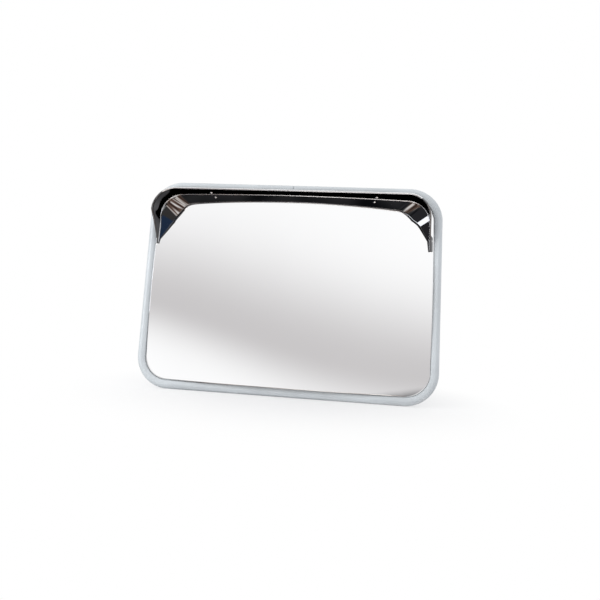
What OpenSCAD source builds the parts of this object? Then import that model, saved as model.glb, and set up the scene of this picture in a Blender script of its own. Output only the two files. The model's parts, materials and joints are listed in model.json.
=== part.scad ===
// Convex security mirror: a pressed mirror face in a grey edge trim, with a visor hood
// over its top edge, a moulded back shell and a compact pan and tilt wall bracket.
// Millimetres. Wall face at y = 0, the mirror looks along -Y, +Z is up.

/* [Mirror face] */
// Width of the domed mirror face
face_w = 598; // [420:2:900]
// Height of the domed mirror face
face_h = 406; // [320:2:620]
// Corner radius of the domed face
face_corner = 50; // [30:1:90]
// Radius of the sphere that the face is pressed to
face_sphere = 2800; // [2400:50:4200]
// Height of the face's skirt over its flange at the four corners
face_lift = 2; // [0.3:0.1:12]
// Thickness of the mirror sheet
face_sheet = 3; // [1.5:0.5:4]

/* [Edge trim] */
// Width of the trim band seen from the front
trim_band = 18; // [15:0.5:26]
// Radius of the trim's round outer nose
trim_nose = 11; // [9:0.5:13]
// Corner radius over the trim
trim_corner = 70; // [50:1:110]
// Gap between the face and the trim's lip at the left and right
side_gap = 3; // [1:0.5:8]
// Gap between the face and the trim's lip at the top and bottom
end_gap = 7; // [2:0.5:12]
// Radius of the trim's two gripping lips
lip_round = 2.2; // [1:0.1:3]
// Depth of the trim's outer wall behind its slot
trim_wall = 5.7; // [3:0.1:7]
// Width of the butt joint where the trim's two ends meet
trim_joint = 0.5; // [0.3:0.1:2]

/* [Hood] */
// Distance of the hood's front edge from the trim's widest plane
hood_reach = 56; // [45:1:90]
// Distance from the face's side edge to the hood's inner wall
hood_side = 5.5; // [5.5:0.5:20]
// Distance from the face's top edge to the hood's inner wall
hood_top = 4; // [3.5:0.5:20]
// Radius of the hood's two corners
hood_corner = 45; // [30:1:90]
// Height over which the hood's sides run out to nothing
hood_taper = 54; // [30:1:100]
// Thickness of the hood's sheet
hood_sheet = 1.2; // [0.8:0.1:2]
// Radius of the rolled hem on the hood's front edge
hood_hem = 1.7; // [1.2:0.1:3]
// Distance of the two clip rivets from the middle
clip_x = 178; // [90:1:230]
// Width of each hood clip
clip_w = 22; // [14:1:40]
// Height of each hood clip against the hood's wall
clip_rise = 17; // [12:1:22]

/* [Back shell] */
// Depth of the back shell behind the trim's widest plane
shell_depth = 28; // [24:1:50]
// Wall of the back shell
shell_wall = 2.5; // [1.5:0.5:4]
// Draft of the back shell's sides from rim to floor
shell_draft = 14; // [6:1:22]
// Outer radius of the bend between the shell's sides and floor
shell_bend = 9; // [6:0.5:12]
// Radius of the stiffening beads on the back
bead_r = 6; // [4:0.5:9]
// Height of the beads over the shell's floor
bead_rise = 2.2; // [1:0.1:3]
// Thickness of the sealing strip between face and shell
seal_t = 2; // [1:0.5:4]
// Radius of the drain holes
drain_r = 3; // [2:0.5:5]
// Distance of the drain holes from the middle
drain_x = 150; // [60:5:170]
// Width of the stiffener plate inside the shell
stiffener_w = 170; // [100:2:260]
// Height of the stiffener plate
stiffener_h = 112; // [84:2:200]
// Thickness of the stiffener plate
stiffener_t = 3; // [2:0.5:5]
// Height of the stiffener's folded edges
stiffener_fold = 9; // [6:0.5:14]

/* [Bracket] */
// Distance from the wall to the trim's widest plane
stand_off = 85; // [85:1:140]
// Distance from the wall to the pan bolt
pan_y = 22; // [22:0.5:30]
// Distance from the pan bolt to the tilt bolt
knuckle = 16; // [16:0.5:24]
// Outer radius of the swivel block's barrels
barrel_r = 11; // [9.5:0.5:11.5]
// Half length of the swivel block's barrels
barrel_half = 15; // [12:0.5:22]
// Thickness of the bracket's steel plate
plate_t = 4; // [3:0.5:5]
// Width of the wall plate
wall_w = 84; // [76:2:140]
// Height of the wall plate
wall_h = 116; // [104:2:180]
// Corner radius of both plates
plate_corner = 8; // [4:1:12]
// Screw hole spacing across the wall plate
wall_hole_x = 60; // [50:1:64]
// Screw hole spacing up the wall plate
wall_hole_z = 90; // [74:1:92]
// Radius of the wall screw holes
wall_hole_r = 3.5; // [2.5:0.5:5]
// Side of the square tilt plate
head_plate = 84; // [76:2:110]
// Bolt spacing of the tilt plate
head_hole = 56; // [52:1:62]
// Ear radius at the pan bolt
pan_ear = 13; // [12:0.5:13.5]
// Ear radius at the tilt bolt
tilt_ear = 12; // [11.5:0.5:13]

/* [Fasteners] */
// Radius of the pan and tilt bolts
pivot_r = 4; // [3:0.5:5]
// Wall of the nylon bushes
bush_wall = 2; // [1:0.5:2.5]
// Running clearance of the pivots on radius
pivot_clear = 0.05; // [0.02:0.01:0.08]
// Thickness of the friction washers
friction_t = 1.5; // [1:0.5:3]
// Across-flats size of the pivot bolts and nuts
pivot_hex = 13; // [11:1:17]
// Radius of the head bolts
bolt_r = 3; // [2.5:0.5:4]
// Across-flats size of the head bolts and nuts
bolt_hex = 10; // [9:1:13]
// Clearance of a bolt in its hole on radius
hole_clear = 0.3; // [0.1:0.1:0.6]
// Thickness of the plain washers
washer_t = 1.6; // [1:0.2:2.4]
// Radius of the rivet shanks
rivet_r = 1.6; // [1.2:0.1:2.4]
// Radius of the small rivets in the hood's foot
foot_rivet_r = 0.9; // [0.6:0.1:0.9]

/* [Hidden] */

round_fn = 96;                   // facets of the outlines' and barrels' curves
cap_fn = 1440;                   // facets of the face's sphere in its section
crown_fn = 180;                  // facets of the face's sphere round its middle
bore_fn = 64;                    // facets of bores, washers and pivots
bolt_fn = 48;                    // facets of bolts, beads and lips
wire_fn = 32;                    // facets of the hem and the rivets
fit = 0.3;                       // gap left between curved pieces that only lie together
snug = 0.05;                     // clearance of a rivet in its hole and of a bolt in its nut
over = 1;                        // length by which a cut passes the face it goes through
tray_gap = 2;                    // gap between the trim's back lip and the shell's side
foot_in = 0.5;                   // distance from the face's edge to the hood's foot
foot_slant = 1.3;                // fall of the foot's cut ends over the foot's width
foot_rivet_at = 0.26;            // place of the foot's rivets along the hood's run-outs
clip_rivet_at = 0.6;             // place of the clip's rivet along its height
knuckle_swell = 1.2;             // radius of the hem's knuckles over the hem's own
rivet_spread = 2;                // radius of a rivet's head over its shank's
rivet_ball = 2.2;                // radius of the sphere that rounds a rivet's head over its shank's
tail_spread = 1.7;               // radius of a rivet's upset tail over its shank's
tail_rise = 0.5;                 // height of a rivet's upset tail over its shank's radius
head_rise = 0.4;                 // height of a bolt's head over its across-flats size
nut_rise = 0.5;                  // height of a nut over its across-flats size
collar_rise = 0.25;              // share of a locking nut that is its collar
collar_spread = 0.45;            // radius of that collar over the nut's across-flats size
bead_rake = 0.6;                 // rise of the slanting beads' inner ends over their distance
lock_turn = 20;                  // slant of the cut through the lock washers

// The rim: face flange, seal and shell flange lie in the trim's slot as one stack
stack = face_sheet + seal_t + shell_wall;
flange_top = stack / 2;
flange_low = flange_top - face_sheet;
seal_low = flange_low - seal_t;
face_far = norm([face_w / 2 - face_corner, face_h / 2 - face_corner]) + face_corner;
face_rise = flange_top + face_lift + face_sphere - sqrt(pow(face_sphere, 2) - pow(face_far, 2));
trim_w = face_w + 2 * (side_gap + trim_band);
trim_h = face_h + 2 * (end_gap + trim_band);
seat = trim_wall + fit;
seat_w = trim_w - 2 * seat;
seat_h = trim_h - 2 * seat;
seat_corner = trim_corner - seat;
lip_w = trim_w - 2 * trim_band;
lip_h = trim_h - 2 * trim_band;
lip_corner = trim_corner - trim_band;

// The hood's inner outline stands on the face, inside its edge
hood_w = face_w - 2 * hood_side;
hood_up = face_h / 2 - hood_top;
hood_shoulder = hood_up - hood_corner;
hood_end = hood_shoulder - hood_taper;
hem_knuckle = knuckle_swell * hood_hem;
hood_low = face_f(hood_w / 2, hood_end) + fit + hem_knuckle;

// The clips stand on the hood's foot; their rivets and the foot's own
clip_foot = face_f(clip_x - clip_w / 2, hood_up) + fit + hood_sheet;
clip_hole = clip_foot + clip_rivet_at * clip_rise;
foot_rivet_x = (hood_w / 2 + hood_sheet + face_w / 2 - foot_in) / 2;
foot_rivet_y = hood_end + foot_rivet_at * hood_taper;
rivet_tail = tail_rise * rivet_r;

// The back shell's tray, clear of the trim's back lip
tray_w = lip_w - 2 * tray_gap;
tray_h = lip_h - 2 * tray_gap;
floor_w = tray_w - 2 * shell_draft;
floor_h = tray_h - 2 * shell_draft;
tray_corner = lip_corner - tray_gap;
shell_lean = atan2(shell_draft, shell_depth + seal_low);
bend_run = (shell_depth + seal_low - shell_bend + shell_bend * sin(shell_lean)) / cos(shell_lean);
bend_centre = [-bend_run * sin(shell_lean) - shell_bend * cos(shell_lean), shell_bend - shell_depth];

// Stations along y, as distances from the wall
tilt_y = pan_y + knuckle;
plate_back = stand_off - shell_depth - plate_t;
ear_in = barrel_half + friction_t;
ear_out = ear_in + plate_t;
head_y = plate_back - washer_t;
lock_t = washer_t;
pivot_head = head_rise * pivot_hex;
pivot_nut = nut_rise * pivot_hex;
bolt_head = head_rise * bolt_hex;
bolt_nut = nut_rise * bolt_hex;
thread_out = 2;                  // thread that stands out of a nut
web_t = 4;                       // web of the wall channel over its plate
root_out = 5;                    // length by which the wall ears' root stands past the ears
bead_edge = 26;                  // distance of the beads' ends from the edge of the shell's floor
drain_up = 14;                   // height of the drain holes over the floor's lower edge
lock_out = 2.2;                  // width of the lock washers' ring
lock_cut = 0.8;                  // width of the cut through the lock washers
press = 0.01;                    // clearance of a bush in its barrel

// Depth of the face's outer surface at a place on it
function face_f(x, y) = face_rise - face_sphere + sqrt(pow(face_sphere, 2) - x * x - y * y);

// Places a drawing made face up, with z as the distance in front of the trim's plane
module in_mirror() {
  translate([0, -stand_off, 0]) rotate([90, 0, 0]) children();
}

// Rectangle with round corners
module rounded(w, h, r) {
  square([w - 2 * r, h], center = true);
  square([w, h - 2 * r], center = true);
  for (x = [-1, 1], y = [-1, 1])
    translate([x * (w / 2 - r), y * (h / 2 - r)]) circle(r = r, $fn = round_fn);
}

// Upright slab with round corners from one depth to another
module slab(w, h, r, low, high) {
  translate([0, 0, low]) linear_extrude(height = high - low) rounded(w, h, r);
}

// Solid under a sphere that lies a given distance outside the face's own
module crown(extra) {
  reach = norm([seat_w, seat_h]) / 2;
  rotate_extrude($fn = crown_fn) intersection() {
    translate([0, face_rise - face_sphere]) circle(r = face_sphere + extra, $fn = cap_fn);
    translate([0, -shell_depth]) square([reach, shell_depth + face_rise + hood_reach]);
  }
}

// Hexagon bar of a given across-flats size
module hex_bar(flats, length) {
  cylinder(r = flats / sqrt(3), h = length, $fn = 6);
}

// Flat round washer
module washer(outer, inner, t) {
  difference() {
    cylinder(r = outer, h = t, $fn = bore_fn);
    translate([0, 0, -over]) cylinder(r = inner, h = t + 2 * over, $fn = bore_fn);
  }
}

// Repeats a piece at the four bolts of the tilt plate
module at_head_bolts() {
  for (x = [-1, 1], z = [-1, 1])
    translate([x * head_hole / 2, 0, z * head_hole / 2]) children();
}

// Turns a piece drawn along z so that it runs from a station towards the wall
module to_wall(from) {
  translate([0, -from, 0]) rotate([-90, 0, 0]) children();
}

// Domed face with a turned-down skirt and a flat flange for the trim
module mirror_face() {
  color("gainsboro") in_mirror() difference() {
    union() {
      intersection() {
        slab(face_w, face_h, face_corner, flange_low, face_rise + over);
        crown(0);
      }
      slab(seat_w, seat_h, seat_corner, flange_low, flange_top);
    }
    intersection() {
      slab(face_w - 2 * face_sheet, face_h - 2 * face_sheet, face_corner - face_sheet,
        flange_low - over, face_rise + over);
      crown(-face_sheet);
    }
  }
}

// Cross-section of the trim, with x = 0 at its outer edge and the slot facing inwards
module trim_section() {
  lip_x = lip_round - trim_band;
  lip_y = flange_top + lip_round;
  difference() {
    union() {
      translate([-trim_nose, 0]) intersection() {
        circle(r = trim_nose, $fn = round_fn);
        translate([0, -trim_nose]) square([trim_nose, 2 * trim_nose]);
      }
      polygon([[-trim_nose, trim_nose], [lip_x, lip_y + lip_round], [lip_x, -lip_y - lip_round],
        [-trim_nose, -trim_nose]]);
      translate([-trim_band, -lip_y]) square([trim_band - trim_nose, 2 * lip_y]);
      for (side = [-1, 1]) translate([lip_x, side * lip_y]) circle(r = lip_round, $fn = bolt_fn);
    }
    translate([-trim_band - over, -flange_top]) square([trim_band + over - trim_wall, stack]);
  }
}

// Carries a section, with x = 0 on the outline, round a rectangle with round corners
module round_rim(w, h, r) {
  run_x = w - 2 * r;
  run_y = h - 2 * r;
  for (turn = [0, 1]) rotate(180 * turn) {
    translate([w / 2, run_y / 2, 0]) rotate([90, 0, 0]) linear_extrude(height = run_y) children();
    translate([-run_x / 2, h / 2, 0]) rotate([90, 0, 90]) linear_extrude(height = run_x) children();
    translate([run_x / 2, run_y / 2, 0]) rotate_extrude(angle = 90, $fn = round_fn)
      translate([r, 0]) children();
    translate([-run_x / 2, run_y / 2, 0]) rotate(90) rotate_extrude(angle = 90, $fn = round_fn)
      translate([r, 0]) children();
  }
}

// Soft U-section wrapped round the rim, its two ends meeting at the top
module edge_trim() {
  color("lightsteelblue") in_mirror() difference() {
    round_rim(trim_w, trim_h, trim_corner) trim_section();
    translate([-trim_joint / 2, lip_h / 2 - over, -trim_nose - over])
      cube([trim_joint, trim_band + 2 * over, 2 * trim_nose + 2 * over]);
  }
}

// Closed-cell strip between the face's flange and the shell's flange
module rim_seal() {
  color("dimgray") in_mirror() difference() {
    slab(seat_w, seat_h, seat_corner, seal_low, flange_low);
    slab(face_w, face_h, face_corner, seal_low - over, flange_low + over);
  }
}

// Side view of the hood: full depth down to the shoulder, then a straight run-out
module hood_side_view() {
  past = hood_corner / 2;
  rotate([90, 0, -90]) translate([0, 0, -hood_w / 2 - past]) linear_extrude(height = hood_w + 2 * past)
    polygon([[-hood_end, -shell_depth], [-hood_end, hood_low], [-hood_shoulder, hood_reach],
      [-hood_up - past, hood_reach], [-hood_up - past, -shell_depth]]);
}

// Rolled hem along the hood's front edge and down its two run-outs
module hood_hem_roll() {
  mid = hood_w / 2 + hood_sheet / 2;
  top = hood_up + hood_sheet / 2;
  bend = hood_corner + hood_sheet / 2;
  slope = norm([hood_taper, hood_reach - hood_low]);
  lean = atan2(hood_taper, hood_reach - hood_low);
  translate([-mid + bend, top, hood_reach]) rotate([0, 90, 0])
    cylinder(r = hood_hem, h = 2 * (mid - bend), $fn = wire_fn);
  for (side = [-1, 1]) {
    translate([side * (mid - bend), top - bend, hood_reach]) rotate(side > 0 ? 0 : 90)
      rotate_extrude(angle = 90, $fn = round_fn) translate([bend, 0]) circle(r = hood_hem, $fn = wire_fn);
    translate([side * mid, hood_shoulder, hood_reach]) sphere(r = hem_knuckle, $fn = wire_fn);
    translate([side * mid, hood_shoulder, hood_reach]) rotate([180 - lean, 0, 0])
      cylinder(r = hood_hem, h = slope, $fn = wire_fn);
    translate([side * mid, hood_end, hood_low]) sphere(r = hem_knuckle, $fn = wire_fn);
  }
}

// Outline of the hood's wall and of the space inside it
module hood_outline(grow) {
  rounded(hood_w + 2 * grow, 2 * (hood_up + grow), hood_corner + grow);
}

// Polished visor: a wall on the face, a narrow foot flange outside it and a rolled hem
module hood() {
  foot_cut = hood_end - foot_slant * hood_side;
  color("darkslategray") in_mirror() difference() {
    union() {
      intersection() {
        difference() {
          linear_extrude(height = hood_reach) hood_outline(hood_sheet);
          translate([0, 0, -over]) linear_extrude(height = hood_reach + 2 * over) hood_outline(0);
          crown(fit);
        }
        hood_side_view();
      }
      intersection() {
        difference() {
          crown(fit + hood_sheet);
          crown(fit);
        }
        linear_extrude(height = hood_reach) difference() {
          rounded(face_w - 2 * foot_in, face_h - 2 * foot_in, face_corner - foot_in);
          hood_outline(hood_sheet / 2);
        }
        linear_extrude(height = hood_reach)
          polygon([[-hood_w / 2, hood_end], [hood_w / 2, hood_end], [face_w / 2, foot_cut],
            [face_w / 2, face_h], [-face_w / 2, face_h], [-face_w / 2, foot_cut]]);
      }
      hood_hem_roll();
    }
    at_clip_rivets() cylinder(r = rivet_r + snug, h = 4 * hood_sheet, center = true, $fn = wire_fn);
    at_foot_rivets() cylinder(r = foot_rivet_r + snug, h = 4 * hood_sheet, center = true, $fn = wire_fn);
  }
}

// Places a rivet, drawn along z, through the hood's wall at each clip
module at_clip_rivets() {
  for (side = [-1, 1]) translate([side * clip_x, hood_up, clip_hole]) rotate([-90, 0, 0]) children();
}

// Places a rivet, drawn along z, square to the face under the hood's foot near its two ends
module at_foot_rivets() {
  out = norm([foot_rivet_x, foot_rivet_y]);
  for (side = [-1, 1]) translate([0, 0, face_rise - face_sphere])
    rotate([0, 0, atan2(foot_rivet_y, side * foot_rivet_x)]) rotate([0, asin(out / face_sphere), 0])
      translate([0, 0, face_sphere + fit]) children();
}

// Spring angles riveted behind the hood's wall, with their feet over the face's border
module hood_clips() {
  back = hood_up + hood_sheet;
  drop = flange_top;
  skirt = face_h / 2 + fit;
  color("silver") in_mirror() for (side = [-1, 1]) translate([side * clip_x, 0, 0]) difference() {
    union() {
      translate([-clip_w / 2, back, clip_foot]) cube([clip_w, hood_sheet, clip_rise]);
      translate([-clip_w / 2, back, clip_foot]) cube([clip_w, skirt + hood_sheet - back, hood_sheet]);
      translate([-clip_w / 2, skirt, drop])
        cube([clip_w, hood_sheet, clip_foot + hood_sheet - drop]);
    }
    translate([0, back, clip_hole]) rotate([-90, 0, 0])
      cylinder(r = rivet_r + snug, h = 4 * hood_sheet, center = true, $fn = wire_fn);
  }
}

// Shank of a rivet over a grip, with a domed head below z = 0
module rivet(r, grip) {
  cylinder(r = r, h = grip, $fn = wire_fn);
  intersection() {
    translate([0, 0, r]) sphere(r = rivet_ball * r, $fn = bolt_fn);
    translate([0, 0, -rivet_spread * r]) cylinder(r = rivet_spread * r, h = rivet_spread * r, $fn = bolt_fn);
  }
}

// Rivets of the two clips and of the hood's foot
module hood_rivets() {
  color("gray") in_mirror() {
    at_clip_rivets() {
      rivet(rivet_r, 2 * hood_sheet);
      translate([0, 0, 2 * hood_sheet]) cylinder(r = tail_spread * rivet_r, h = rivet_tail, $fn = wire_fn);
    }
    at_foot_rivets() translate([0, 0, hood_sheet]) rotate([180, 0, 0])
      rivet(foot_rivet_r, hood_sheet);
  }
}

// Section of the shell's side: a drafted wall that turns into the floor with a round bend
module shell_section() {
  foot = bend_centre + shell_bend * [cos(shell_lean), -sin(shell_lean)];
  inner = shell_bend - shell_wall;
  polygon([[0, seal_low], foot, bend_centre + inner * [cos(shell_lean), -sin(shell_lean)],
    [-shell_wall / cos(shell_lean), seal_low]]);
  intersection() {
    translate(bend_centre) difference() {
      circle(r = shell_bend, $fn = round_fn);
      circle(r = inner, $fn = round_fn);
    }
    polygon([bend_centre, bend_centre + 2 * shell_bend * [cos(shell_lean), -sin(shell_lean)],
      bend_centre + [0, -2 * shell_bend]]);
  }
}

// Moulded tray with drafted sides, a rim flange, stiffening beads and drain holes
module back_shell() {
  bead_in = head_plate / 2 + bead_edge / 2;
  reach_x = floor_w / 2 - bead_edge;
  reach_y = floor_h / 2 - bead_edge;
  color("slategray") in_mirror() difference() {
    union() {
      difference() {
        slab(seat_w, seat_h, seat_corner, -flange_top, seal_low);
        slab(tray_w - shell_wall, tray_h - shell_wall, tray_corner - shell_wall / 2,
          -flange_top - over, seal_low + over);
      }
      round_rim(tray_w, tray_h, tray_corner) shell_section();
      slab(tray_w + 2 * bend_centre[0], tray_h + 2 * bend_centre[0], tray_corner + bend_centre[0],
        -shell_depth, shell_wall - shell_depth);
      for (x = [-1, 1], y = [-1, 1]) shell_bead([x * bead_in, y * bead_rake * bead_in],
        [x * reach_x, y * reach_y]);
      for (x = [-1, 1]) shell_bead([x * bead_in, 0], [x * reach_x, 0]);
    }
    for (x = [-1, 1], y = [-1, 1])
      translate([x * head_hole / 2, y * head_hole / 2, -shell_depth - over])
        cylinder(r = bolt_r + hole_clear, h = shell_wall + 2 * over, $fn = bolt_fn);
    for (x = [-1, 1]) translate([x * drain_x, drain_up - floor_h / 2, -shell_depth - over])
      cylinder(r = drain_r, h = shell_wall + 2 * over, $fn = bolt_fn);
  }
}

// Half-round bead on the back of the shell from one point to another
module shell_bead(from, to) {
  run = to - from;
  depth = bead_r - bead_rise - shell_depth;
  intersection() {
    translate([from[0], from[1], depth]) rotate(atan2(run[1], run[0])) {
      rotate([0, 90, 0]) cylinder(r = bead_r, h = norm(run), $fn = bolt_fn);
      sphere(r = bead_r, $fn = bolt_fn);
      translate([norm(run), 0, 0]) sphere(r = bead_r, $fn = bolt_fn);
    }
    translate([-tray_w / 2, -tray_h / 2, -shell_depth - bead_rise - over])
      cube([tray_w, tray_h, bead_rise + over + shell_wall / 2]);
  }
}

// Folded steel plate inside the shell that spreads the load of the four head bolts
module stiffener_plate() {
  low = shell_wall - shell_depth;
  color("darkgray") in_mirror() difference() {
    union() {
      slab(stiffener_w, stiffener_h, plate_corner / 2, low, low + stiffener_t);
      for (side = [-1, 1]) translate([0, side * (stiffener_h - stiffener_t) / 2, low + stiffener_fold / 2])
        cube([stiffener_w - 2 * plate_corner, stiffener_t, stiffener_fold], center = true);
    }
    for (x = [-1, 1], y = [-1, 1]) translate([x * head_hole / 2, y * head_hole / 2, low - over])
      cylinder(r = bolt_r + hole_clear, h = stiffener_t + 2 * over, $fn = bolt_fn);
  }
}

// Four hexagon bolts from inside the shell through to the tilt plate
module head_bolts() {
  seat_y = stand_off - shell_depth + shell_wall + stiffener_t;
  length = seat_y - (head_y - lock_t - bolt_nut - thread_out);
  color("silver") at_head_bolts() to_wall(seat_y) {
    cylinder(r = bolt_r, h = length, $fn = bolt_fn);
    translate([0, 0, -bolt_head]) hex_bar(bolt_hex, bolt_head);
  }
}

// Plain washers under the head nuts
module head_washers() {
  color("silver") at_head_bolts() to_wall(plate_back) washer(2 * bolt_r, bolt_r + hole_clear, washer_t);
}

// Split lock washers between the plain washers and the nuts
module head_lock_washers() {
  color("gray") at_head_bolts() to_wall(head_y) difference() {
    washer(bolt_r + lock_out, bolt_r + hole_clear, lock_t);
    translate([bolt_r, -lock_cut / 2, -over]) rotate(lock_turn)
      cube([2 * lock_out, lock_cut, lock_t + 2 * over]);
  }
}

// Nuts of the head bolts
module head_nuts() {
  color("silver") at_head_bolts() to_wall(head_y - lock_t) difference() {
    hex_bar(bolt_hex, bolt_nut);
    translate([0, 0, -over]) cylinder(r = bolt_r + snug, h = bolt_nut + 2 * over, $fn = bolt_fn);
  }
}

// Square plate with two ears that carries the mirror on the tilt bolt
module tilt_clevis() {
  color("dimgray") difference() {
    union() {
      translate([0, -plate_back, 0]) rotate([90, 0, 0])
        linear_extrude(height = plate_t) rounded(head_plate, head_plate, plate_corner);
      for (side = [-1, 1]) translate([side * (ear_in + ear_out) / 2 - plate_t / 2, 0, 0])
        rotate([90, 0, 90]) linear_extrude(height = plate_t) {
          translate([-tilt_y, 0]) circle(r = tilt_ear, $fn = round_fn);
          polygon([[-tilt_y, tilt_ear], [-plate_back - over, tilt_ear], [-plate_back - over, -tilt_ear],
            [-tilt_y, -tilt_ear]]);
        }
    }
    translate([-ear_out - over, -tilt_y, 0]) rotate([0, 90, 0])
      cylinder(r = pivot_r + pivot_clear, h = 2 * ear_out + 2 * over, $fn = bore_fn);
    at_head_bolts() to_wall(stand_off) cylinder(r = bolt_r + hole_clear, h = stand_off, $fn = bolt_fn);
  }
}

// Hexagon bolt along x through both ears and the swivel block
module tilt_bolt() {
  reach = ear_out + washer_t;
  color("silver") translate([-reach, -tilt_y, 0]) rotate([0, 90, 0]) {
    cylinder(r = pivot_r, h = 2 * reach + pivot_nut + thread_out, $fn = bore_fn);
    translate([0, 0, -pivot_head]) hex_bar(pivot_hex, pivot_head);
  }
}

// Washers under the tilt bolt's head and nut
module tilt_washers() {
  color("silver") for (x = [-ear_out - washer_t, ear_out]) translate([x, -tilt_y, 0])
    rotate([0, 90, 0]) washer(2 * pivot_r, pivot_r + hole_clear, washer_t);
}

// Locking nut with its nylon collar
module lock_nut() {
  collar = collar_rise * pivot_nut;
  difference() {
    union() {
      hex_bar(pivot_hex, pivot_nut - collar);
      translate([0, 0, pivot_nut - collar])
        cylinder(r = collar_spread * pivot_hex, h = collar, $fn = bolt_fn);
    }
    translate([0, 0, -over]) cylinder(r = pivot_r + snug, h = pivot_nut + 2 * over, $fn = bore_fn);
  }
}

// Locking nut of the tilt bolt
module tilt_nut() {
  color("silver") translate([ear_out + washer_t, -tilt_y, 0]) rotate([0, 90, 0]) lock_nut();
}

// Fibre washers that the tilt joint rubs on
module tilt_friction_washers() {
  color("saddlebrown") for (x = [-ear_in, barrel_half]) translate([x, -tilt_y, 0])
    rotate([0, 90, 0]) washer(barrel_r, pivot_r + hole_clear, friction_t);
}

// Nylon sleeve of the tilt joint
module tilt_bush() {
  color("ivory") translate([-barrel_half, -tilt_y, 0]) rotate([0, 90, 0])
    washer(pivot_r + pivot_clear + bush_wall, pivot_r + pivot_clear, 2 * barrel_half);
}

// Cast block with an upright barrel for panning and a level barrel for tilting
module swivel_block() {
  bore = pivot_r + pivot_clear + bush_wall + press;
  color("gray") difference() {
    union() {
      translate([0, -pan_y, -barrel_half]) cylinder(r = barrel_r, h = 2 * barrel_half, $fn = round_fn);
      translate([-barrel_half, -tilt_y, 0]) rotate([0, 90, 0])
        cylinder(r = barrel_r, h = 2 * barrel_half, $fn = round_fn);
      translate([-barrel_r, -tilt_y, -barrel_r]) cube([2 * barrel_r, knuckle, 2 * barrel_r]);
    }
    translate([0, -pan_y, -barrel_half - over])
      cylinder(r = bore, h = 2 * barrel_half + 2 * over, $fn = bore_fn);
    translate([-barrel_half - over, -tilt_y, 0]) rotate([0, 90, 0])
      cylinder(r = bore, h = 2 * barrel_half + 2 * over, $fn = bore_fn);
  }
}

// Nylon sleeve of the pan joint
module pan_bush() {
  color("ivory") translate([0, -pan_y, -barrel_half])
    washer(pivot_r + pivot_clear + bush_wall, pivot_r + pivot_clear, 2 * barrel_half);
}

// Fibre washers that the pan joint rubs on
module pan_friction_washers() {
  color("saddlebrown") for (z = [-ear_in, barrel_half]) translate([0, -pan_y, z])
    washer(barrel_r, pivot_r + hole_clear, friction_t);
}

// Hexagon bolt down through both wall ears and the swivel block
module pan_bolt() {
  reach = ear_out + washer_t;
  color("silver") translate([0, -pan_y, reach]) {
    hex_bar(pivot_hex, pivot_head);
    translate([0, 0, -2 * reach - pivot_nut - thread_out])
      cylinder(r = pivot_r, h = 2 * reach + pivot_nut + thread_out, $fn = bore_fn);
  }
}

// Washers under the pan bolt's head and nut
module pan_washers() {
  color("silver") for (z = [-ear_out - washer_t, ear_out]) translate([0, -pan_y, z])
    washer(2 * pivot_r, pivot_r + hole_clear, washer_t);
}

// Locking nut of the pan bolt
module pan_nut() {
  color("silver") translate([0, -pan_y, -ear_out - washer_t]) rotate([180, 0, 0]) lock_nut();
}

// Wall plate with a welded channel whose two ears hold the pan bolt
module wall_bracket() {
  root = pan_ear + root_out;
  color("dimgray") difference() {
    union() {
      rotate([90, 0, 0]) linear_extrude(height = plate_t) rounded(wall_w, wall_h, plate_corner);
      translate([-root, -plate_t - web_t, -ear_out]) cube([2 * root, web_t + over, 2 * ear_out]);
      for (z = [-ear_out, ear_in]) translate([0, 0, z]) linear_extrude(height = plate_t) {
        translate([0, -pan_y]) circle(r = pan_ear, $fn = round_fn);
        polygon([[-root, -plate_t], [root, -plate_t], [pan_ear, -pan_y], [-pan_ear, -pan_y]]);
      }
    }
    translate([0, -pan_y, -ear_out - over])
      cylinder(r = pivot_r + pivot_clear, h = 2 * ear_out + 2 * over, $fn = bore_fn);
    for (x = [-1, 1], z = [-1, 1]) translate([x * wall_hole_x / 2, over, z * wall_hole_z / 2])
      rotate([90, 0, 0]) cylinder(r = wall_hole_r, h = plate_t + 2 * over, $fn = bore_fn);
  }
}

mirror_face();
edge_trim();
rim_seal();
hood();
hood_clips();
hood_rivets();
back_shell();
stiffener_plate();
head_bolts();
head_washers();
head_lock_washers();
head_nuts();
tilt_clevis();
tilt_bolt();
tilt_washers();
tilt_nut();
tilt_friction_washers();
tilt_bush();
swivel_block();
pan_bush();
pan_friction_washers();
pan_bolt();
pan_washers();
pan_nut();
wall_bracket();
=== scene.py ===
import json
import math

import bpy
import numpy as np
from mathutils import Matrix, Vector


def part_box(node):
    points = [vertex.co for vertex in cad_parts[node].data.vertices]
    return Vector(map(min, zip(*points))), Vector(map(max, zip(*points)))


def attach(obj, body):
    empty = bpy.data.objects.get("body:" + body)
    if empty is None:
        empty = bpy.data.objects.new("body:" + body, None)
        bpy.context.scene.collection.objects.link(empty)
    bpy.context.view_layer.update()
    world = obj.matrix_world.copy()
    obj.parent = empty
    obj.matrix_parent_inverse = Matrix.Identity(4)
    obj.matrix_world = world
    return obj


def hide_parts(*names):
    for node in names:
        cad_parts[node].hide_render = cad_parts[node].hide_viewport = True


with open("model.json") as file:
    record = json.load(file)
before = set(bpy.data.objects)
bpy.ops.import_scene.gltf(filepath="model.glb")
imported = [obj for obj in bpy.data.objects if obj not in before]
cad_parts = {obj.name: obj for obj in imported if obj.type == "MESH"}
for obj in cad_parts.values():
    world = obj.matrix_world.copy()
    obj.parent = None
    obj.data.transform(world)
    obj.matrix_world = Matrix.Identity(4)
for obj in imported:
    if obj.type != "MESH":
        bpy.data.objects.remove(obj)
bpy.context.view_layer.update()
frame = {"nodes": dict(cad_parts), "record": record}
scene = bpy.context.scene

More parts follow.
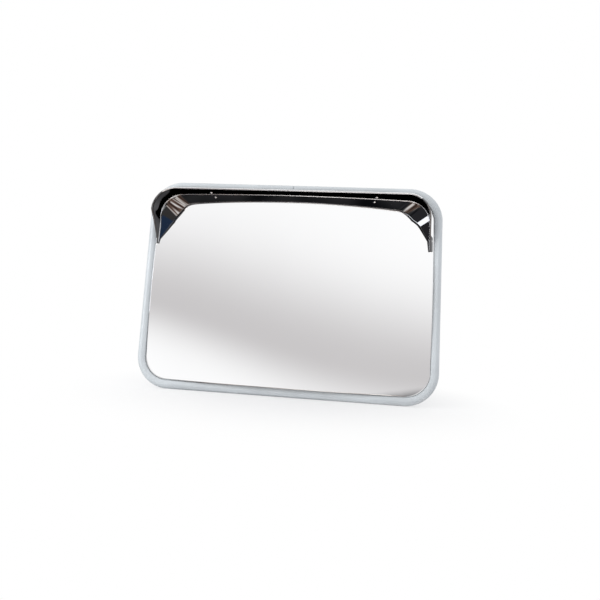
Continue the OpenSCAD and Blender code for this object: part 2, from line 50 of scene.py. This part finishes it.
# ---------------------------------------------------------------- picture
# The photograph was taken with a moderately wide lens close to the mirror, from a
# little right of its middle and below it, with the camera rolled about 3 degrees.
scene.view_settings.view_transform = "Standard"
lens = bpy.data.cameras.new("camera")
lens.lens, lens.sensor_width = 24.0, 36.0
lens.shift_y = -17 / 600
lens.clip_start, lens.clip_end = 0.02, 40.0
camera = bpy.data.objects.new("camera", lens)
camera.location = (0.1019, -0.9379, -0.0705)
camera.rotation_euler = tuple(math.radians(a) for a in (95.631, -3.304, 4.851))
scene.collection.objects.link(camera)
scene.camera = camera


# ---------------------------------------------------------------- surroundings
# A white studio: what the eye sees is plain white, and what the polished faces show is
# a bright room with a soft grey diagonal in it and a dark floor area under the horizon.
def calc(tree, kind, a, b=None, c=None):
    """One Math node on numbers or sockets; gives its output socket."""
    node = tree.nodes.new("ShaderNodeMath")
    node.operation = kind
    for i, v in enumerate((a, b, c)):
        if v is None:
            continue
        if isinstance(v, (int, float)):
            node.inputs[i].default_value = v
        else:
            tree.links.new(v, node.inputs[i])
    return node.outputs[0]


def blend_colour(tree, part, a, b):
    """Colour a where part is 0 and b where it is 1; each may be a colour or a socket."""
    node = tree.nodes.new("ShaderNodeMix")
    node.data_type = "RGBA"
    for slot, v in ((0, part), (6, a), (7, b)):
        if hasattr(v, "is_output"):
            tree.links.new(v, node.inputs[slot])
        elif slot == 0:
            node.inputs[slot].default_value = v
        else:
            node.inputs[slot].default_value = (*v, 1.0)
    return node.outputs[2]


def between(tree, v, low, high):
    """Smooth step of v from 0 at low to 1 at high."""
    node = tree.nodes.new("ShaderNodeMapRange")
    node.interpolation_type = "SMOOTHSTEP"
    node.inputs["From Min"].default_value = low
    node.inputs["From Max"].default_value = high
    tree.links.new(v, node.inputs["Value"])
    return node.outputs["Result"]


world = bpy.data.worlds.new("studio")
scene.world = world
world.use_nodes = True
sky = world.node_tree
sky.nodes.clear()
seen = sky.nodes.new("ShaderNodeTexCoord")
parts = sky.nodes.new("ShaderNodeSeparateXYZ")
sky.links.new(seen.outputs["Generated"], parts.inputs[0])
east, north, up = parts.outputs
# About the degrees above the grey diagonal. Its middle line lies this far under the horizon
# straight ahead and falls by the slope towards the east. It fades over more degrees above
# that line than below it.
degrees, under_horizon, slope, fade_below, fade_extra = 57.3, 9.3, 16.0, 8.0, 9.0
rise = calc(sky, "MULTIPLY_ADD", up, degrees, under_horizon)
rise = calc(sky, "MULTIPLY_ADD", east, slope, rise)
above = calc(sky, "GREATER_THAN", rise, 0.0)
width = calc(sky, "MULTIPLY_ADD", above, fade_extra, fade_below)
near = calc(sky, "DIVIDE", rise, width)
near = calc(sky, "EXPONENT", calc(sky, "MULTIPLY", calc(sky, "MULTIPLY", near, near), -1.0))
bright_room, diagonal_grey = (1.03, 1.03, 1.035), (0.615, 0.598, 0.604)
room = blend_colour(sky, near, bright_room, diagonal_grey)
# Under the horizon lies a dark part of the room, then a strip of brown and cream things, and
# under that the white table. up is the sine of the height above the horizon.
speck = sky.nodes.new("ShaderNodeTexNoise")
speck.inputs["Scale"].default_value = 6.0
speck.inputs["Detail"].default_value = 1.0
sky.links.new(seen.outputs["Generated"], speck.inputs["Vector"])
dark_brown, brown, cream = (0.16, 0.10, 0.08), (0.52, 0.34, 0.26), (3.0, 2.85, 2.7)
warm = blend_colour(sky, between(sky, speck.outputs[0], 0.34, 0.50), dark_brown, brown)
warm = blend_colour(sky, between(sky, speck.outputs[0], 0.51, 0.67), warm, cream)
near_black, dark_grey = (0.03, 0.032, 0.038), (0.15, 0.15, 0.155)
dim = blend_colour(sky, between(sky, speck.outputs[0], 0.35, 0.65), near_black, dark_grey)
# Degrees to the right of straight in front of the mirror
turn = calc(sky, "ARCTAN2", east, calc(sky, "MULTIPLY", north, -1.0))
turn = calc(sky, "MULTIPLY", turn, degrees)
below = blend_colour(sky, between(sky, up, -0.64, -0.69), dim, warm)
table_white = (0.95, 0.95, 0.95)
below = blend_colour(sky, between(sky, up, -0.80, -0.87), below, table_white)
room = blend_colour(sky, between(sky, up, -0.315, -0.365), room, below)
# Beyond the edges of what the mirror shows straight on: a dark corner on the right, grey
# with navy in its upper part, and on the left a dark wall with one bright window
in_right = calc(sky, "MULTIPLY", between(sky, turn, 36.5, 38.5), between(sky, turn, 62.0, 58.0))
in_right = calc(sky, "MULTIPLY", in_right, between(sky, up, 0.6, 0.5))
navy = calc(sky, "MULTIPLY", between(sky, up, 0.02, 0.25), between(sky, turn, 50.0, 45.0))
corner_grey, navy_blue = (0.15, 0.145, 0.14), (0.07, 0.13, 0.26)
dark_corner = blend_colour(sky, navy, corner_grey, navy_blue)
dark_corner = blend_colour(sky, between(sky, up, -0.30, -0.38), dark_corner, warm)
room = blend_colour(sky, in_right, room, dark_corner)
in_left = calc(sky, "MULTIPLY", between(sky, turn, -40.5, -43.0), between(sky, up, 0.85, 0.75))
dark_wall, daylight = (0.09, 0.09, 0.10), (5.4, 5.5, 5.7)
room = blend_colour(sky, in_left, room, dark_wall)
window = calc(sky, "MULTIPLY", between(sky, turn, -49.0, -50.0), between(sky, turn, -62.0, -61.0))
window = calc(sky, "MULTIPLY", window, between(sky, up, -0.06, -0.04))
window = calc(sky, "MULTIPLY", window, between(sky, up, 0.27, 0.25))
room = blend_colour(sky, window, room, daylight)
path = sky.nodes.new("ShaderNodeLightPath")
soft_light, white = (0.74, 0.75, 0.77), (1.0, 1.0, 1.0)
lit = blend_colour(sky, path.outputs["Is Glossy Ray"], soft_light, room)
lit = blend_colour(sky, path.outputs["Is Camera Ray"], lit, white)
air = sky.nodes.new("ShaderNodeBackground")
sky.links.new(lit, air.inputs["Color"])
out = sky.nodes.new("ShaderNodeOutputWorld")
sky.links.new(air.outputs[0], out.inputs["Surface"])

# One broad soft lamp on the left, turned to the mirror
key = bpy.data.lights.new("key", "AREA")
key.shape, key.size, key.energy = "DISK", 1.6, 22.0
key_lamp = bpy.data.objects.new("key", key)
key_lamp.location = (-1.6, -1.2, 1.0)
key_lamp.rotation_euler = (math.radians(63), 0.0, math.radians(-53))
key_lamp.visible_glossy = False
scene.collection.objects.link(key_lamp)

# The white table: lit and shadowed near the mirror, plain white further off. The polished
# faces look past it into the room.
floor_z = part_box("edge_trim")[0].z
floor_mesh = bpy.data.meshes.new("floor")
half, front_y, back_y = 1.7, -1.3, 1.2
corners = ((-half, front_y), (half, front_y), (half, back_y), (-half, back_y))
floor_mesh.from_pydata([(x, y, floor_z) for x, y in corners], [], [(0, 1, 2, 3)])
floor = bpy.data.objects.new("floor", floor_mesh)
scene.collection.objects.link(floor)
floor.visible_glossy = False
paper = bpy.data.materials.new("white table")
paper.use_nodes = True
tree = paper.node_tree
surface = tree.nodes["Principled BSDF"]
surface.inputs["Base Color"].default_value = (0.93, 0.93, 0.935, 1.0)
surface.inputs["Roughness"].default_value = 0.7
surface.inputs["Specular IOR Level"].default_value = 0.1
place = tree.nodes.new("ShaderNodeTexCoord")
length = tree.nodes.new("ShaderNodeVectorMath")
length.operation = "LENGTH"
squeeze = tree.nodes.new("ShaderNodeMapping")
squeeze.inputs["Scale"].default_value = (0.8, 1.0, 0.0)
tree.links.new(place.outputs["Object"], squeeze.inputs[0])
tree.links.new(squeeze.outputs[0], length.inputs[0])
# Close to the mirror the table is this much plain white, and all of it further off
least_white = 0.45
far = between(tree, length.outputs["Value"], 0.12, 0.42)
only = tree.nodes.new("ShaderNodeLightPath")
far = calc(tree, "MULTIPLY_ADD", far, 1.0 - least_white, least_white)
far = calc(tree, "MULTIPLY", far, only.outputs["Is Camera Ray"])
glow = tree.nodes.new("ShaderNodeEmission")
mixed = tree.nodes.new("ShaderNodeMixShader")
tree.links.new(far, mixed.inputs[0])
tree.links.new(surface.outputs[0], mixed.inputs[1])
tree.links.new(glow.outputs[0], mixed.inputs[2])
tree.links.new(mixed.outputs[0], tree.nodes["Material Output"].inputs["Surface"])
floor_mesh.materials.append(paper)


# ---------------------------------------------------------------- mirror face
# A vacuum-formed sheet of mirrored acrylic, 3 mm thick: a shallow dome with a rounded
# shoulder, a short skirt and a flat flange that the trim and the seal grip.
def rim(half_w, half_h, corner, per_side, per_corner):
    """Round rectangle as (core point, outward direction) pairs going clockwise from the
    top middle: each outline point is the core point plus the corner radius along the
    direction, so adding to the radius gives a true offset of the outline."""
    side = np.linspace(0.0, 1.0, per_side, endpoint=False)
    turn = np.linspace(0.0, np.pi / 2, per_corner, endpoint=False)
    cores, outs = [], []
    cx, cz = half_w - corner, half_h - corner
    spots = [((0, cz), (cx, cz), 90), ((cx, cz), (cx, -cz), 0), ((cx, -cz), (-cx, -cz), -90),
             ((-cx, -cz), (-cx, cz), 180), ((-cx, cz), (0, cz), 90)]
    for i, (a, b, angle) in enumerate(spots):
        a, b = np.array(a, float), np.array(b, float)
        cores.append(a + side[:, None] * (b - a))
        d = np.radians(angle)
        outs.append(np.tile([np.cos(d), np.sin(d)], (per_side, 1)))
        if i < 4:
            swing = np.radians(angle) - turn
            cores.append(np.tile(b, (per_corner, 1)))
            outs.append(np.stack([np.cos(swing), np.sin(swing)], 1))
    return np.concatenate(cores), np.concatenate(outs)


def skin(name, grid, loop_u=True, loop_v=False, close="none"):
    """Mesh object from a grid of points [u, v, xyz] in the row frame. Each grid cell is one
    quad; a looped direction is joined to its start. close is "poles" where the first and last
    rings end in a point at their middle, or "ends" where the first and last sections are
    capped. Faces are turned so that the volume they enclose counts positive. UV runs in
    metres along the grid."""
    nu, nv = grid.shape[:2]
    index = np.arange(nu * nv).reshape(nu, nv)
    u = np.arange(nu if loop_u else nu - 1)
    v = np.arange(nv if loop_v else nv - 1)
    a = index[u][:, v]
    b = index[(u + 1) % nu][:, v]
    c = index[(u + 1) % nu][:, (v + 1) % nv]
    d = index[u][:, (v + 1) % nv]
    faces = np.stack([a, b, c, d], -1).reshape(-1, 4).tolist()
    points = grid.reshape(-1, 3)
    along = np.concatenate([[0.0], np.cumsum(np.linalg.norm(np.diff(grid[:, 0], axis=0), axis=1))])
    across = np.concatenate([[0.0], np.cumsum(np.linalg.norm(np.diff(grid[0], axis=0), axis=1))])
    uv = np.stack(np.broadcast_arrays(along[:, None], across[None, :]), -1).reshape(-1, 2)
    if close == "poles":
        points = np.concatenate([points, grid[:, 0].mean(0)[None], grid[:, -1].mean(0)[None]])
        uv = np.concatenate([uv, [[0.0, 0.0]], [[0.0, across[-1]]]])
        first, last = index[:, 0], index[:, -1]
        tip = np.full(nu, nu * nv)
        faces += np.stack([tip, np.roll(first, -1), first], 1).tolist()
        faces += np.stack([tip + 1, last, np.roll(last, -1)], 1).tolist()
    if close == "ends":
        faces += [index[0].tolist(), index[-1][::-1].tolist()]
    corner = points[np.array([f[:3] for f in faces])]
    fourth = points[np.array([f[3] if len(f) == 4 else f[2] for f in faces])]
    signed = np.einsum("ij,ij->", corner[:, 0], np.cross(corner[:, 1], corner[:, 2]))
    signed += np.einsum("ij,ij->", corner[:, 0], np.cross(corner[:, 2], fourth))
    if signed < 0:
        faces = [f[::-1] for f in faces]
    mesh = bpy.data.meshes.new(name)
    mesh.from_pydata(points.tolist(), [], faces)
    used = np.empty(len(mesh.loops), int)
    mesh.loops.foreach_get("vertex_index", used)
    mesh.uv_layers.new(name="UVMap").data.foreach_set("uv", uv[used].reshape(-1))
    mesh.polygons.foreach_set("use_smooth", np.array([len(f) <= 4 for f in faces]))
    mesh.update()
    obj = bpy.data.objects.new(name, mesh)
    scene.collection.objects.link(obj)
    return obj


def finish(name, colour, rough, metal=0.0, vary=0.06, grain=120.0, bump=0.02, rough_vary=0.06):
    """Principled material with two scales of procedural detail on Object coordinates: slow
    clouds that vary the colour, and finer grain that varies the roughness and gives a bump."""
    made = bpy.data.materials.new(name)
    made.use_nodes = True
    t = made.node_tree
    base = t.nodes["Principled BSDF"]
    base.inputs["Metallic"].default_value = metal
    spot = t.nodes.new("ShaderNodeTexCoord").outputs["Object"]
    cloud = t.nodes.new("ShaderNodeTexNoise")
    cloud.inputs["Scale"].default_value = 7.0
    cloud.inputs["Detail"].default_value = 4.0
    t.links.new(spot, cloud.inputs["Vector"])
    dark = tuple(c * (1 - vary) for c in colour)
    light = tuple(min(1.0, c * (1 + vary)) for c in colour)
    mottle = blend_colour(t, between(t, cloud.outputs[0], 0.35, 0.65), dark, light)
    t.links.new(mottle, base.inputs["Base Color"])
    fine = t.nodes.new("ShaderNodeTexNoise")
    fine.inputs["Scale"].default_value = grain
    fine.inputs["Detail"].default_value = 5.0
    t.links.new(spot, fine.inputs["Vector"])
    centred = calc(t, "SUBTRACT", fine.outputs[0], 0.5)
    t.links.new(calc(t, "MULTIPLY_ADD", centred, rough_vary, rough), base.inputs["Roughness"])
    relief = t.nodes.new("ShaderNodeBump")
    relief.inputs["Strength"].default_value = bump
    relief.inputs["Distance"].default_value = 0.001
    t.links.new(fine.outputs[0], relief.inputs["Height"])
    t.links.new(relief.outputs[0], base.inputs["Normal"])
    return made


# The trim's widest plane stands this far off the wall; all depths are counted from it
stand = 0.085
dome_radius, dome_top, corner_fall, sheet = 3.1, 0.02674, 1.4, 0.003
face_half_w, face_half_h, face_corner = 0.299, 0.203, 0.050
face_core, face_out = rim(face_half_w, face_half_h, face_corner, 36, 40)
flange_front, flange_back = 0.00375, 0.00075
# The dome fills the opening of the trim but for a fine gap, so it is a little larger than
# the flange's own outline on the left, the right and below
dome_core = face_core * np.where(face_core > 0, [1.0100, 1.0], [1.0060, 1.0325])


def dome(x, z, drop=0.0):
    """Distance of the face's surface in front of the trim's widest plane: a sphere, less a
    term in x squared times z squared that lets the four corners fall away as they do on a
    sheet that was blown out of a rectangle. drop is how far inside the surface it lies."""
    ball = np.sqrt((dome_radius - drop) ** 2 - x * x - z * z) - dome_radius
    return dome_top + ball - corner_fall * x * x * z * z


def face_ring(offset, height=None, scale=1.0, drop=0.0, middle=dome_core):
    """One ring of the face: the outline offset by some metres, or shrunk towards the middle
    by scale, at a fixed height or on the dome."""
    p = (middle + face_out * (face_corner + offset)) * scale
    h = dome(p[:, 0], p[:, 1], drop) if height is None else np.broadcast_to(height, p[:, 0].shape)
    return np.stack([p[:, 0], -stand - h, p[:, 1]], 1)


# The shoulder's radius, the fillet between skirt and flange, how far the flange reaches out
# and how much its edges are eased, and the size of the rings round the two poles
shoulder, fillet, flange_reach, eased, pole = 0.0008, 0.0012, 0.0150, 0.0003, 0.0015
edge = face_ring(0.0)
edge_height = -edge[:, 1] - stand
# The last ring lies close to the one before, so that the shoulder's shading starts there
out_to_edge = np.append(np.linspace(pole, 0.9985, 72), 1.0)
rings = [face_ring(-shoulder, scale=s) for s in out_to_edge]
for a in np.radians(np.linspace(10, 90, 9)):
    inset, sunk = shoulder * (1 - math.sin(a)), shoulder * (1 - math.cos(a))
    rings.append(face_ring(-inset, edge_height - sunk))
rings.append(face_ring(0.0, flange_front + fillet))
for a in np.radians(np.linspace(20, 90, 5)):
    rings.append(face_ring(fillet * (1 - math.cos(a)), flange_front + fillet * (1 - math.sin(a))))
for out, height in ((flange_reach - 0.0002, flange_front), (flange_reach, flange_front - eased),
                    (flange_reach, flange_back + eased), (flange_reach - 0.0002, flange_back)):
    rings.append(face_ring(out, height, middle=face_core))
rings.append(face_ring(-sheet, flange_back))
rings.append(face_ring(-sheet, edge_height - sheet - 0.0004))
rings += [face_ring(-sheet - 0.0006, scale=s, drop=sheet) for s in np.linspace(1.0, pole, 30)]
face = skin("face_sheet", np.stack(rings, 1), close="poles")
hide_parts("mirror_face")
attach(face, "mirror_head")
silver = finish("mirror acrylic", (0.955, 0.957, 0.957), 0.012, 1.0,
                vary=0.004, grain=30.0, bump=0.0, rough_vary=0.012)
face.data.materials.append(silver)

# ---------------------------------------------------------------- edge trim
# A soft extruded vinyl section with a round nose and two gripping lips, wrapped round the
# rim from the top middle, where its two ends meet in a fine butt joint.
nose, lip, band, wall_in = 0.011, 0.0022, 0.018, 0.0057
trim_corner = 0.070
trim_core, trim_out = rim(0.320, 0.228, trim_corner, 40, 36)
joint, chamfer = 0.00025, 0.0006
trim_core = np.concatenate([trim_core, trim_core[:1]])
trim_out = np.concatenate([trim_out, trim_out[:1]])
trim_core[0, 0], trim_core[-1, 0] = joint, -joint
lip_mid = flange_front + lip
a1 = np.radians(np.linspace(-90, 90, 33))
a2 = np.radians(np.linspace(59, -90, 13))
front = np.concatenate([
    np.stack([nose - nose * np.cos(a1), nose * np.sin(a1)], 1),
    np.stack([band - lip + lip * np.cos(a2), lip_mid + lip * np.sin(a2)], 1),
    [[wall_in + chamfer, flange_front], [wall_in, flange_front - chamfer]],
])
section = np.concatenate([front, (front[33:] * [1, -1])[::-1]])
around = np.linspace(0, 2 * np.pi, len(trim_core))
wobble = 0.00016 * np.sin(5 * around + 0.6) + 0.0001 * np.sin(13 * around)
extra = np.stack([trim_core[0] + [chamfer, 0], trim_core[-1] - [chamfer, 0]])
core = np.concatenate([trim_core[:1], extra[:1], trim_core[1:-1], extra[1:], trim_core[-1:]])
outs = np.concatenate([trim_out[:1], trim_out[:1], trim_out[1:-1], trim_out[-1:], trim_out[-1:]])
swell = np.concatenate([wobble[:1], wobble[:1], wobble[1:-1], wobble[-1:], wobble[-1:]])
mid = np.array([nose, 0.0])
end = np.ones(len(core))
end[[0, -1]] = 0.965
points = mid + (section - mid)[None] * end[:, None, None]
out_by = trim_corner - points[:, :, 0] + swell[:, None] * (points[:, :, 0] > wall_in)
xz = core[:, None, :] + outs[:, None, :] * out_by[:, :, None]
grid = np.stack([xz[:, :, 0], -stand - points[:, :, 1], xz[:, :, 1]], -1)
trim = skin("trim_section", grid, loop_u=False, loop_v=True, close="ends")
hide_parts("edge_trim")
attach(trim, "mirror_head")
vinyl = finish("grey vinyl", (0.63, 0.665, 0.685), 0.36, vary=0.05, grain=260.0, bump=0.05)
vinyl.node_tree.nodes["Principled BSDF"].inputs["Coat Weight"].default_value = 0.25
vinyl.node_tree.nodes["Principled BSDF"].inputs["Coat Roughness"].default_value = 0.2
trim.data.materials.append(vinyl)

# ---------------------------------------------------------------- hood
# A visor of 1.2 mm sheet with a mirror polish, sprung a little out of true: a wall round the
# top of the face, a bent foot that lies on the face's border, and a rolled hem. The walls carry
# a darkened copy of the polish, painted shade for their dark reflections, and the bend and most
# of the hem a brightened copy, painted highlight.
thick, hem, bend, hood_round = 0.0012, 0.0017, 0.0016, 0.045
side_core, top_core, left_end, right_end = 0.2485, 0.154, 0.086, 0.0915
per_side = 48
core_all, out_all = rim(0.2935, 0.199, hood_round, 60, 48)
order = np.roll(np.arange(len(core_all)), len(core_all) // 2)
line = core_all[order] + out_all[order] * hood_round
keep = line[:, 1] > top_core + 0.0001
left = np.stack([np.full(per_side, -side_core), np.linspace(left_end, top_core, per_side)], 1)
right = np.stack([np.full(per_side, side_core), np.linspace(top_core, right_end, per_side)], 1)
core = np.concatenate([left, core_all[order][keep], right])
outs = np.concatenate([np.tile([-1.0, 0.0], (per_side, 1)), out_all[order][keep],
                       np.tile([1.0, 0.0], (per_side, 1))])
x, z = (core + outs * hood_round).T


def ease(v, low, high):
    """Smooth step of v from 0 at low to 1 at high: three t squared less two t cubed."""
    t = np.clip((v - low) / (high - low), 0.0, 1.0)
    return t * t * (3 - 2 * t)


# The hood lies this far off the face. root is where each station of the wall stands beside
# its true place, and lean how far it is off its root at lean_height above the face. bulge is
# 1 at the sprung left corner and falls to 0 round it.
lay, lean_height = 0.0003, 0.048
bulge_x, bulge_z, bulge_w, bulge_h = -0.283, 0.178, 0.030, 0.028
on_left, on_right = ease(-x, 0.12, 0.28), ease(x, 0.12, 0.28)
bulge = np.exp(-((x - bulge_x) / bulge_w) ** 2 - ((z - bulge_z) / bulge_h) ** 2)
root = np.stack([-0.0012 * on_right - (0.0010 + 0.0022 * ease(z, 0.125, 0.155)) * on_left,
                 0.0006 * ease(z, 0.15, 0.19)], 1)
lean = np.stack([(0.0017 + 0.0035 * bulge) * on_left - 0.0093 * on_right,
                 -0.0013 * ease(z, 0.15, 0.19) - 0.0028 * bulge], 1)
foot_line = core + outs * hood_round + root
low_f = dome(foot_line[:, 0], foot_line[:, 1])
# Each end starts as a low tail, from which the front edge then climbs: the heights where the
# climb starts, how steep it is, and how steep the tail is
left_from, left_climb, left_tail = 0.097, 0.80, 0.25
right_from, right_climb, right_tail = 0.116, 0.74, 0.18
left_side = (left_climb * np.clip(z - left_from, 0.0, None)
             + left_tail * np.clip(z - left_end, 0.0, left_from - left_end))
right_side = (right_climb * np.clip(z - right_from, 0.0, None)
              + right_tail * np.clip(z - right_end, 0.0, right_from - right_end))
climb = np.where(x < 0, left_side, right_side)
# How far the visor reaches out in the middle, how much more to the right, and at the bulge
reach, reach_slant, reach_bulge = 0.0555, 0.010, 0.0075
full_reach = reach + reach_slant * x + reach_bulge * bulge
depth = np.minimum(full_reach, low_f + lay + 1.2 * hem + climb)
# The foot ends just inside the flange's outline. It is narrow, but for a tab at each end
inside, narrow = 0.0004, 0.0022
past = np.abs(foot_line) - [face_half_w - face_corner, face_half_h - face_corner]
to_edge = np.hypot(*np.maximum(past, 0.0).T) + np.minimum(past.max(1), 0.0) - face_corner
tab = ease(z, 0.128, 0.120)
foot = (-inside - to_edge) * tab + np.minimum(-inside - to_edge, narrow) * (1 - tab)


def hood_point(off, f):
    """Points at an offset outwards from the hood's inner face and a distance in front of
    the trim's widest plane, for every station along the hood. The wall leans in proportion
    to its distance from the face."""
    f = np.broadcast_to(f, z.shape)
    p = core + outs * (hood_round + np.broadcast_to(off, z.shape))[:, None] + root
    p = p + lean * (np.clip(f - low_f, 0.0, None) / lean_height)[:, None]
    return np.stack([p[:, 0], -stand - f, p[:, 1]], 1)


def on_face(off):
    """Distance of the face's surface in front of the trim's plane under a hood offset."""
    p = core + outs * (hood_round + np.broadcast_to(off, z.shape))[:, None] + root
    return dome(p[:, 0], p[:, 1]) + lay


lines = [hood_point(foot, on_face(foot)), hood_point(bend, on_face(bend))]
for a in np.radians(np.linspace(15, 90, 7)):
    lines.append(hood_point(bend * (1 - math.sin(a)), on_face(0) + bend * (1 - math.cos(a))))
foot_to = len(lines) - 1
wall_from, wall_to = on_face(0) + bend, depth - math.sqrt(hem * hem - thick * thick / 4)
for k in np.linspace(0.12, 1.0, 9):
    lines.append(hood_point(0.0, wall_from + k * (wall_to - wall_from)))
seam = math.degrees(math.acos(-thick / 2 / hem))
hem_from = len(lines) - 1
for a in np.radians(np.linspace(360 - seam, seam - 180, 33)):
    lines.append(hood_point(thick / 2 + hem * math.cos(a), depth + hem * math.sin(a)))
hem_to = len(lines)
for k in np.linspace(1.0, 0.12, 9):
    lines.append(hood_point(thick, wall_from + k * (wall_to - wall_from)))
inner = bend - thick
for a in np.radians(np.linspace(90, 15, 6)):
    above_foot = thick + inner * (1 - math.cos(a))
    lines.append(hood_point(bend - inner * math.sin(a), on_face(bend) + above_foot))
lines.append(hood_point(foot, on_face(foot) + thick))
hood = skin("hood_sheet", np.stack(lines, 1), loop_u=False, loop_v=True, close="ends")
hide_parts("hood")
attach(hood, "mirror_head")
# Painted shade: the walls' polish is darker than the sheet's own polish, with a nearly black
# grazing tint, so that the walls show dark
polish = finish("polish darkened as painted shade", (0.20, 0.20, 0.205), 0.035, 1.0,
                vary=0.05, grain=40.0, bump=0.0, rough_vary=0.04)
painted_shade_tint = polish.node_tree.nodes["Principled BSDF"].inputs["Specular Tint"]
painted_shade_tint.default_value = (0.06, 0.06, 0.062, 1.0)
hood.data.materials.append(polish)
# Painted highlight: a brightened copy of the same polish for the bend and most of the hem
bright = finish("hem polish with painted highlight", (0.86, 0.86, 0.87), 0.24, 1.0, vary=0.04, grain=200.0, bump=0.01)
hood.data.materials.append(bright)
# The hem carries the painted highlight as far as its sides, where it turns down beyond this
# distance from the middle; the last two faces are the end caps
hem_highlight_side = 0.275
across = np.arange(len(hood.data.polygons)) % len(lines)
rolled = (across >= hem_from) & (across < hem_to)
rolled &= np.append(np.repeat(np.abs(x[:-1]) < hem_highlight_side, len(lines)), [False, False])
painted_highlight_faces = (across < foot_to) | rolled
painted_highlight_faces[-2:] = False
hood.data.polygons.foreach_set("material_index", painted_highlight_faces.astype(np.int32))

# ---------------------------------------------------------------- hidden hardware
# Bright zinc fasteners, powder-coated steel plates, a die-cast block, nylon sleeves,
# fibre washers and the moulded shell, each in its own finish.
looks = {
    "zinc": finish("bright zinc", (0.66, 0.67, 0.69), 0.28, 1.0, vary=0.08, grain=300.0, bump=0.05),
    "spring_steel": finish("spring steel", (0.42, 0.43, 0.45), 0.3, 1.0, vary=0.1, grain=300.0),
    "rivet": finish("rivet alloy", (0.85, 0.85, 0.86), 0.2, 1.0, vary=0.05, grain=400.0),
    "shell": finish("grained shell", (0.42, 0.45, 0.47), 0.55, vary=0.05, grain=900.0, bump=0.25),
    "galvanised": finish("galvanised", (0.55, 0.57, 0.59), 0.4, 1.0, vary=0.15, grain=90.0),
    "bracket_paint": finish("powder coat", (0.30, 0.325, 0.345), 0.45,
                            vary=0.05, grain=1500.0, bump=0.3),
    "fibre": finish("fibre", (0.2, 0.06, 0.03), 0.7, vary=0.15, grain=700.0, bump=0.3),
    "nylon": finish("nylon", (0.75, 0.72, 0.64), 0.4, vary=0.04, grain=300.0),
    "casting": finish("casting", (0.5, 0.51, 0.53), 0.45, 1.0, vary=0.12, grain=220.0, bump=0.2),
    "seal": finish("foam", (0.02, 0.02, 0.022), 0.9, vary=0.2, grain=1200.0, bump=0.5),
}
for item in frame["record"]["subparts"]:
    obj = frame["nodes"][item["node"]]
    if item["material_slot"] in looks:
        obj.data.materials.clear()
        obj.data.materials.append(looks[item["material_slot"]])
